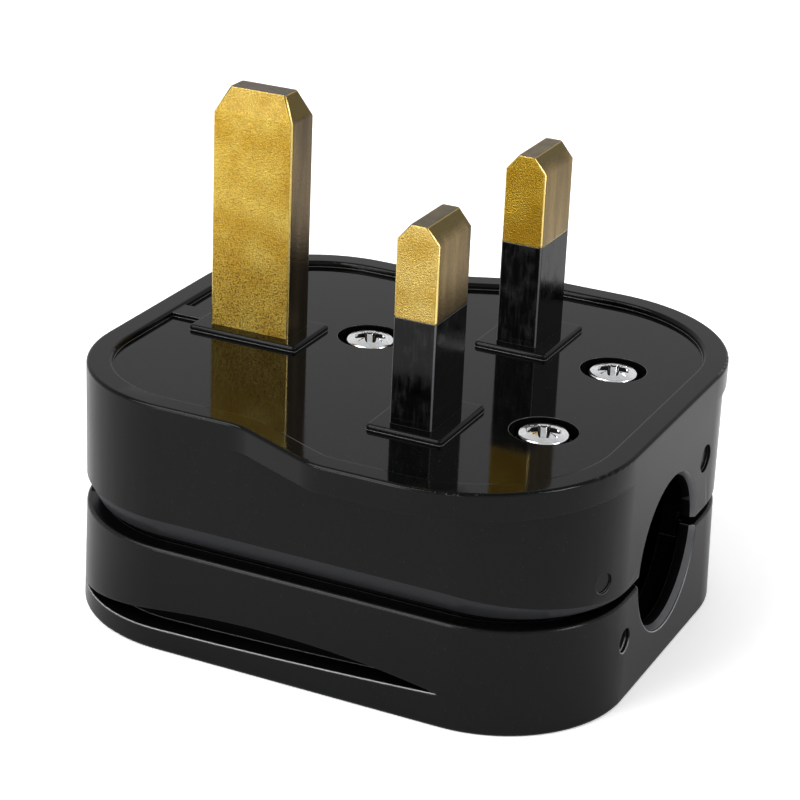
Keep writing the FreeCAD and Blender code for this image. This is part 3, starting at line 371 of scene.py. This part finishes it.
# Sleeves: black nylon, moulded round the waist of each short pin, flush with the brass. The shutters of sockets
# have scuffed the faces across the plug, in cloudy streaks along the pin. The streaks are painted greyer on those
# faces only, a painted light, and the edges get a painted highlight.
SCUFF_WIDTH = 0.3 * MM
SCUFF_STRETCH = 0.15
SCUFF_PATCH_SIZE = 1.6 * MM
NYLON_BLACK = "#040404"
SCUFF_AND_LIT_SIDE_GREY = "#232426"
SLEEVE_EDGE_HIGHLIGHT_GREY = "#6c6d6f"
NYLON_IOR = 1.53
SCUFFED = {"From Min": 0.22, "From Max": 0.40}
SCUFF_GLOSS = {"From Min": 0.15, "From Max": 0.4, "To Min": 0.1, "To Max": 0.28}

moulded_nylon = new_material("moulded_nylon")
tree = moulded_nylon.node_tree
place = add(tree, "ShaderNodeTexCoord", {})
tall = add(tree, "ShaderNodeMapping", {"Vector": (place, "Object"), "Scale": (1.0, 1.0, SCUFF_STRETCH)})
streaks = add(tree, "ShaderNodeTexNoise", {"Vector": (tall, "Vector"), "Scale": 1 / SCUFF_WIDTH, "Detail": 3.0})
patches = add(tree, "ShaderNodeTexNoise", {"Vector": (place, "Object"), "Scale": 1 / SCUFF_PATCH_SIZE, "Detail": 4.0})
both = add(tree, "ShaderNodeMath", {0: (streaks, "Fac"), 1: (patches, "Fac")}, operation="MULTIPLY")
scuffed = add(tree, "ShaderNodeMapRange", {"Value": (both, "Value"), **SCUFFED})
normal = add(tree, "ShaderNodeSeparateXYZ", {"Vector": (place, "Normal")})
across = add(tree, "ShaderNodeMath", {0: (normal, "X"), 1: (normal, "X")}, operation="MULTIPLY")
# The grey scuffs show only on the faces along X: scuffs with a painted light.
lit_side_scuffs = add(tree, "ShaderNodeMath", {0: (scuffed, "Result"), 1: (across, "Value")}, operation="MULTIPLY")
scuffs = add(tree, "ShaderNodeMix", {"Factor": (lit_side_scuffs, "Value"), "A": linear(NYLON_BLACK),
                                     "B": linear(SCUFF_AND_LIT_SIDE_GREY)}, data_type="RGBA")
rounded, on_edge = rounded_edges(tree, EDGE_ROUNDING)
arris = upright_edges(tree, normal)
either = add(tree, "ShaderNodeMath", {0: (on_edge, "Result"), 1: (arris, "Result")}, operation="MAXIMUM")
# Edges get a paler grey: a painted highlight.
colour = add(tree, "ShaderNodeMix", {"Factor": (either, "Value"), "A": (scuffs, "Result"),
                                     "B": linear(SLEEVE_EDGE_HIGHLIGHT_GREY)}, data_type="RGBA")
gloss = add(tree, "ShaderNodeMapRange", {"Value": (both, "Value"), **SCUFF_GLOSS})
shader = add(tree, "ShaderNodeBsdfPrincipled", {"Base Color": (colour, "Result"), "Roughness": (gloss, "Result"),
                                                "Normal": (rounded, "Normal"), "IOR": NYLON_IOR,
                                                "Specular IOR Level": 0.4})
finish(tree, shader)
for node_name in ("neutral_pin_sleeve", "line_pin_sleeve"):
    sleeve = smooth_copy(node_name, node_name + "_moulding")
    sleeve.data.materials.append(moulded_nylon)


# Face screws: steel, cold headed with a crowned pan and a deep cross recess, zinc plated and bright. Four fine ticks
# are struck between the arms of the recess. One screw joins base and cover, and two draw up the cord grip.
ZINC_GRAIN = 0.35 * MM
GRAIN_HEIGHT = 0.02 * MM
GRAIN_STRENGTH = 0.1
CROWN_RISE = 0.4 * MM
CROWN_RINGS = 56
HEAD_SIDE = 0.75 * MM
HEAD_ROUND = 0.3 * MM
RIM_RINGS = 8
HEAD_STEPS = 192
SHANK_RADIUS = 1.5 * MM
SHANK_CHAMFER = 0.3 * MM
RECESS_REACH = 1.5 * MM
RECESS_HALF_WIDTH = 0.56 * MM
RECESS_DEPTH = 1.3 * MM
RECESS_POWER = 1.3
RECESS_SLOPE = 0.25 * MM
RECESS_TAPER = 0.1
RECESS_WALL_TILT = 0.6
RECESS_SEARCH = 1.1 * RECESS_DEPTH
TICK_START = 0.9 * MM
TICK_END = 1.6 * MM
TICK_HALF_WIDTH = 0.07 * MM
TICK_DEPTH = 0.1 * MM


def grained_stock(name, dark, light, grain_size, metallic, roughness, stretch=(1.0, 1.0, 1.0)):
    """A finish whose colour and gloss vary with one noise, stretched along the way the stock was drawn or turned."""
    material = new_material(name)
    tree = material.node_tree
    place = add(tree, "ShaderNodeTexCoord", {})
    drawn = add(tree, "ShaderNodeMapping", {"Vector": (place, "Object"), "Scale": stretch})
    grain = add(tree, "ShaderNodeTexNoise", {"Vector": (drawn, "Vector"), "Scale": 1 / grain_size, "Detail": 3.0})
    colour = add(tree, "ShaderNodeMix", {"Factor": (grain, "Fac"), "A": linear(dark), "B": linear(light)},
                 data_type="RGBA")
    gloss = add(tree, "ShaderNodeMapRange", {"Value": (grain, "Fac"), **MOST_OF_A_NOISE,
                                             "To Min": roughness[0], "To Max": roughness[1]})
    bump = add(tree, "ShaderNodeBump", {"Height": (grain, "Fac"), "Strength": GRAIN_STRENGTH,
                                        "Distance": GRAIN_HEIGHT})
    shader = add(tree, "ShaderNodeBsdfPrincipled", {"Base Color": (colour, "Result"), "Roughness": (gloss, "Result"),
                                                    "Normal": (bump, "Normal"), "Metallic": metallic})
    finish(tree, shader)
    return material


def recess_depth(x, y, turn):
    """How far the cross sinks a point: deep at the centre, less by a power of the way out, and none past its walls.

    An arm narrows a little on its way out, and its walls slope. A tick is a V between two arms.
    """
    along = x * np.cos(turn) + y * np.sin(turn)
    aside = y * np.cos(turn) - x * np.sin(turn)
    out = np.hypot(x, y)
    bottom = RECESS_DEPTH * (1.0 - np.clip(out / RECESS_REACH, 0, 1) ** RECESS_POWER)
    depth = np.zeros_like(out)
    for run, offset in ((along, aside), (aside, along)):
        half = RECESS_HALF_WIDTH * (1.0 - RECESS_TAPER * np.abs(run) / RECESS_REACH)
        inside = np.minimum(half - np.abs(offset), RECESS_REACH - np.abs(run))
        depth = np.maximum(depth, bottom * np.clip(inside / RECESS_SLOPE, 0, 1))
    across = np.minimum(np.abs(along - aside), np.abs(along + aside)) / math.sqrt(2)
    tick = TICK_DEPTH * np.clip(1 - across / TICK_HALF_WIDTH, 0, 1)
    on_tick = (out > TICK_START) & (out < TICK_END)
    return np.maximum(depth, np.where(on_tick, tick, 0))


def pan_screw(piece_name, x, y, radius, top, end, turn):
    """A turned surface: rings along a profile, from the crown's pole over the rounded rim and down to the shank's end.

    The crown is a parabola, the rim a quarter circle, and recess_depth lowers the crown's points.
    """
    crown_r = np.linspace(0, radius - HEAD_ROUND, CROWN_RINGS)
    crown_z = top - CROWN_RISE * (crown_r / radius) ** 2
    arc = np.linspace(0, math.pi / 2, RIM_RINGS)[1:]
    rim_r = radius - HEAD_ROUND + HEAD_ROUND * np.sin(arc)
    rim_z = crown_z[-1] - HEAD_ROUND * (1 - np.cos(arc))
    seat = rim_z[-1] - HEAD_SIDE
    lower_r = np.array([radius, SHANK_RADIUS, SHANK_RADIUS, SHANK_RADIUS - SHANK_CHAMFER, 0])
    lower_z = np.array([seat, seat, end + SHANK_CHAMFER, end, end])
    ring_r = np.concatenate([crown_r, rim_r, lower_r])
    ring_z = np.concatenate([crown_z, rim_z, lower_z])

    round_by = np.linspace(0, 2 * math.pi, HEAD_STEPS, endpoint=False)
    grid_x = ring_r[1:-1, None] * np.cos(round_by)
    grid_y = ring_r[1:-1, None] * np.sin(round_by)
    grid_z = np.repeat(ring_z[1:-1, None], HEAD_STEPS, axis=1)
    sunk = len(crown_r) - 1
    grid_z[:sunk] -= recess_depth(grid_x[:sunk], grid_y[:sunk], turn)
    points = np.stack([grid_x + x, grid_y + y, grid_z], axis=-1).reshape(-1, 3)
    poles = [[x, y, top - RECESS_DEPTH], [x, y, end]]

    rings = len(ring_r) - 2
    step = np.arange(HEAD_STEPS)
    follow = (step + 1) % HEAD_STEPS
    start = np.arange(rings - 1)[:, None] * HEAD_STEPS
    below = start + HEAD_STEPS
    last = (rings - 1) * HEAD_STEPS
    first_pole = rings * HEAD_STEPS
    quads = np.stack([start + step, below + step, below + follow, start + follow], axis=-1).reshape(-1, 4)
    cap = np.stack([np.full(HEAD_STEPS, first_pole), step, follow], axis=-1)
    foot = np.stack([np.full(HEAD_STEPS, first_pole + 1), last + follow, last + step], axis=-1)

    mesh = bpy.data.meshes.new(piece_name)
    mesh.from_pydata(np.vstack([points, poles]).tolist(), [], quads.tolist() + cap.tolist() + foot.tolist())
    mesh.polygons.foreach_set("use_smooth", np.ones(len(mesh.polygons), dtype=bool))
    mesh.set_sharp_from_angle(angle=SMOOTH_LIMIT)
    centres = polygon_values(mesh, "center")
    steep = np.abs(polygon_values(mesh, "normal")[:, 2]) < RECESS_WALL_TILT
    near_axis = np.hypot(centres[:, 0] - x, centres[:, 1] - y) < RECESS_REACH
    in_recess = near_axis & (centres[:, 2] > top - RECESS_SEARCH)
    # The recess's steep walls get the dark grey: a painted shade.
    dress(mesh, zinc_plate, {recess_painted_shade: steep & in_recess})
    piece = bpy.data.objects.new(piece_name, mesh)
    bpy.context.collection.objects.link(piece)
    return piece


# Bright zinc is a clear, slightly blue white. In the recess the steep walls get a dark grey: a painted shade.
zinc_plate = grained_stock("bright_zinc_plate_on_steel", "#d6d8da", "#fbfcfd", ZINC_GRAIN, 1.0, (0.1, 0.22))
recess_painted_shade = grained_stock("zinc_recess_painted_shade", "#1c1d1e", "#343537", ZINC_GRAIN, 1.0, (0.25, 0.4))
for node_name, turn_degrees in (("cover_screw", 28.0),
                                ("cord_grip_screw_line_side", 22.0),
                                ("cord_grip_screw_neutral_side", 19.0)):
    low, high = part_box(node_name)
    screw = pan_screw(node_name + "_crowned", (low[0] + high[0]) / 2, (low[1] + high[1]) / 2, (high[0] - low[0]) / 2,
                      high[2], low[2], math.radians(turn_degrees))
    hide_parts(node_name)
    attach(screw, "root")


# Inside: brass terminals, a fuse in bronze clips riveted to the line pin and to the line terminal, and a nylon bar
# that two screws draw up to grip a cord. They show only through the cord entry, if at all, so each keeps its CAD
# shape and gets a finish with the grain of how it is made.
TURNED_RINGS = (1.0, 1.0, 4.0)
ROLLED_LINES = (1.0, 0.15, 1.0)
DRAWN_LINES = (1.0, 0.1, 1.0)

# Turned brass has fine rings, and rolled bronze and drawn wire have lines along them. Porcelain, nylon and fibre are
# dull, and nickel is bright. In each row: name, dark and light colour, grain size, metallic, roughness, stretch.
inner_finishes = [
    (grained_stock("turned_brass", "#b8923f", "#e3c272", 0.3 * MM, 1.0, (0.2, 0.34), TURNED_RINGS),
     ["earth_terminal_screw", "neutral_terminal_screw", "line_terminal", "line_terminal_screw",
      "fuse_clip_rivet_pin_side", "fuse_clip_rivet_terminal_side", "cover_screw_insert"]),
    (grained_stock("rolled_phosphor_bronze", "#a8743d", "#cf9a5e", 0.25 * MM, 1.0, (0.22, 0.36), ROLLED_LINES),
     ["fuse_clip_pin_side", "fuse_clip_terminal_side"]),
    (grained_stock("unglazed_porcelain", "#e2ded4", "#f1eee6", 0.4 * MM, 0.0, (0.5, 0.7)),
     ["fuse_barrel"]),
    (grained_stock("nickel_plate_on_brass", "#b4b0a6", "#d8d4ca", 0.5 * MM, 1.0, (0.12, 0.25)),
     ["fuse_cap_pin_side", "fuse_cap_terminal_side"]),
    (grained_stock("tinned_copper_wire", "#b9babc", "#d5d6d8", 0.2 * MM, 1.0, (0.25, 0.4), DRAWN_LINES),
     ["fuse_wire"]),
    (grained_stock("glass_filled_nylon", "#101112", "#191a1b", 0.3 * MM, 0.0, (0.45, 0.6)),
     ["cord_grip_bar"]),
    (grained_stock("vulcanised_fibre", "#6b3a1e", "#8a5230", 0.35 * MM, 0.0, (0.6, 0.75)),
     ["cover_screw_retainer"]),
    (zinc_plate,
     ["cord_grip_nut_line_side", "cord_grip_nut_neutral_side"]),
]
for stock_finish, node_names in inner_finishes:
    for node_name in node_names:
        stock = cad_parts[node_name].data.materials
        stock.clear()
        stock.append(stock_finish)


# Studio: a plain white laminate table, wider than the view, in a room that is brightest low down. A large softbox
# hangs over it, and two smaller ones stand at the plug's line side and beyond its cord end. The table is lifted a
# little where the camera sees it directly, so that the ground is as white as the photograph's.
TABLE_HALF = 2.0
TABLE_GRAIN = 2.0 * MM
TABLE_LIFT = 0.3
ROOM_LEVEL = {"From Min": 0.5, "From Max": 0.9, "To Min": 0.88, "To Max": 0.62}
LIGHTS_AIM = Vector((0.0, 0.0, 0.02))

white_table = new_material("white_laminate_table")
tree = white_table.node_tree
seen = add(tree, "ShaderNodeLightPath", {})
lift = add(tree, "ShaderNodeMath", {0: (seen, "Is Camera Ray"), 1: TABLE_LIFT}, operation="MULTIPLY")
place = add(tree, "ShaderNodeTexCoord", {})
grain = add(tree, "ShaderNodeTexNoise", {"Vector": (place, "Object"), "Scale": 1 / TABLE_GRAIN, "Detail": 2.0})
colour = add(tree, "ShaderNodeMix", {"Factor": (grain, "Fac"), "A": linear("#f4f4f4"), "B": linear("#f8f8f8")},
             data_type="RGBA")
shader = add(tree, "ShaderNodeBsdfPrincipled", {"Base Color": (colour, "Result"), "Roughness": 0.7,
                                                "Specular IOR Level": 0.1, "Emission Color": linear("#ffffff"),
                                                "Emission Strength": (lift, "Value")})
finish(tree, shader)
table_mesh = bpy.data.meshes.new("studio_table")
table_mesh.from_pydata([(-TABLE_HALF, -TABLE_HALF, 0), (TABLE_HALF, -TABLE_HALF, 0),
                        (TABLE_HALF, TABLE_HALF, 0), (-TABLE_HALF, TABLE_HALF, 0)], [], [(0, 1, 2, 3)])
table_mesh.materials.append(white_table)
table = bpy.data.objects.new("studio_table", table_mesh)
bpy.context.collection.objects.link(table)

world = bpy.data.worlds.new("studio_room")
world.use_nodes = True
tree = world.node_tree
tree.nodes.clear()
place = add(tree, "ShaderNodeTexCoord", {})
way = add(tree, "ShaderNodeSeparateXYZ", {"Vector": (place, "Generated")})
level = add(tree, "ShaderNodeMapRange", {"Value": (way, "Z"), **ROOM_LEVEL})
room = add(tree, "ShaderNodeBackground", {"Color": linear("#ffffff"), "Strength": (level, "Result")})
add(tree, "ShaderNodeOutputWorld", {"Surface": (room, "Background")})
bpy.context.scene.world = world


def softbox(name, place, size, watts):
    """A square area light at a place, facing the plug."""
    light = bpy.data.lights.new(name, "AREA")
    light.size = size
    light.energy = watts
    lamp = bpy.data.objects.new(name, light)
    lamp.location = place
    lamp.rotation_euler = (LIGHTS_AIM - Vector(place)).to_track_quat("-Z", "Y").to_euler()
    bpy.context.collection.objects.link(lamp)


softbox("overhead_softbox", (-0.33, 0.29, 0.50), 0.42, 2.6)
softbox("line_side_softbox", (-0.56, 0.22, 0.10), 0.20, 0.7)
softbox("cord_side_softbox", (-0.04, -0.52, 0.27), 0.20, 1.1)


# Camera: a long lens from the cord end's line side, a little above the plug, as the photograph was taken. Its place
# and its lens were worked out from the pins, whose sizes and spacing are standard.
CAMERA_AZIMUTH = math.radians(-65.09)
CAMERA_ELEVATION = math.radians(22.779)
CAMERA_ROLL = math.radians(2.446)
CAMERA_DISTANCE = 224.88 * MM
CAMERA_TARGET = Vector((-8.983, -3.614, 22.950)) * MM
CAMERA_LENS = 117.31
CAMERA_FILM = 36.0
CAMERA_NEAREST = 0.01
VIEW_GAMMA = 0.77

back = Vector((math.sin(CAMERA_AZIMUTH) * math.cos(CAMERA_ELEVATION),
               -math.cos(CAMERA_AZIMUTH) * math.cos(CAMERA_ELEVATION),
               math.sin(CAMERA_ELEVATION)))
level_right = Vector((math.cos(CAMERA_AZIMUTH), math.sin(CAMERA_AZIMUTH), 0.0))
upright = back.cross(level_right)
right = level_right * math.cos(CAMERA_ROLL) + upright * math.sin(CAMERA_ROLL)
up = upright * math.cos(CAMERA_ROLL) - level_right * math.sin(CAMERA_ROLL)
turned = Matrix((right, up, back)).transposed().to_4x4()
lens = bpy.data.cameras.new("photo_camera")
lens.lens = CAMERA_LENS
lens.sensor_width = CAMERA_FILM
lens.clip_start = CAMERA_NEAREST
camera = bpy.data.objects.new("photo_camera", lens)
camera.matrix_world = Matrix.Translation(CAMERA_TARGET + back * CAMERA_DISTANCE) @ turned
bpy.context.collection.objects.link(camera)
bpy.context.scene.camera = camera
bpy.context.scene.view_settings.view_transform = "Standard"
bpy.context.scene.view_settings.gamma = VIEW_GAMMA
